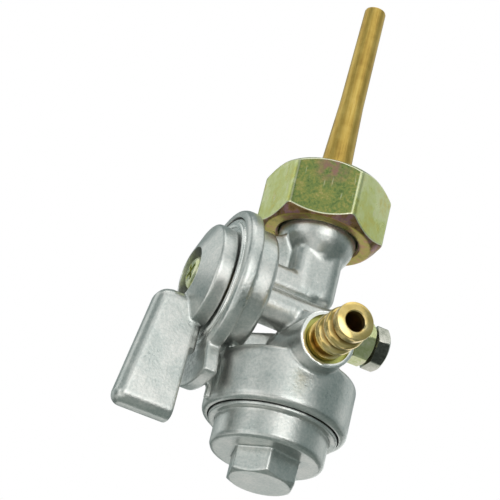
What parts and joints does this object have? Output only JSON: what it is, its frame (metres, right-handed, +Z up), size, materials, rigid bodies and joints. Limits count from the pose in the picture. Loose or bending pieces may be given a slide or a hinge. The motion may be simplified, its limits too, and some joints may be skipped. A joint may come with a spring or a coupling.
{
  "type": "fuel tap",
  "caption": "Die-cast fuel tap for a small engine's tank: union nut with standpipe, quarter-turn lever, hose spigot and screw-in sediment bowl.",
  "frame": {"origin": "on the axis of the union nut and the standpipe, at the top face of the tank seal", "axes": "+Z up along the standpipe into the tank; the hose spigot points along -Y; the valve and its lever are on the -X side"},
  "size_m": [0.0497, 0.0451, 0.1102],
  "materials": {
    "cast_alloy": "as cast, lightly tumbled",
    "yellow_zinc": "yellow passivated zinc plate",
    "bright_zinc": "clear passivated zinc plate",
    "brass": "turned",
    "spring_steel": "rolled strip",
    "black_rubber": "matt",
    "nylon": "natural"
  },
  "bodies": {
    "tap_body": {"body": "cast_alloy", "bowl_seal": "black_rubber", "cover_ring": "bright_zinc", "filter_cage": "nylon", "filter_gauze": "brass", "hose_spigot": "brass", "sediment_bowl": "cast_alloy", "side_bolt": "bright_zinc", "side_nut": "yellow_zinc", "side_washer": "yellow_zinc", "standpipe": "brass", "stem_seal": "black_rubber", "tank_seal": "black_rubber", "valve_gasket": "black_rubber", "wave_spring": "spring_steel"},
    "lever": {"lever": "cast_alloy", "lever_screw": "yellow_zinc", "lever_washer": "bright_zinc", "valve_rotor": "brass"},
    "union_nut": {"union_nut": "yellow_zinc"}
  },
  "joints": [
    {"name": "lever_turn", "type": "hinge", "parent": "tap_body", "child": "lever", "pos_m": [0, 0, -0.02415], "axis": [1, 0, 0], "range_deg": [0, 90]},
    {"name": "nut_spin", "type": "hinge", "parent": "tap_body", "child": "union_nut", "pos_m": [0, 0, 0], "axis": [0, 0, 1], "continuous": true}
  ]
}
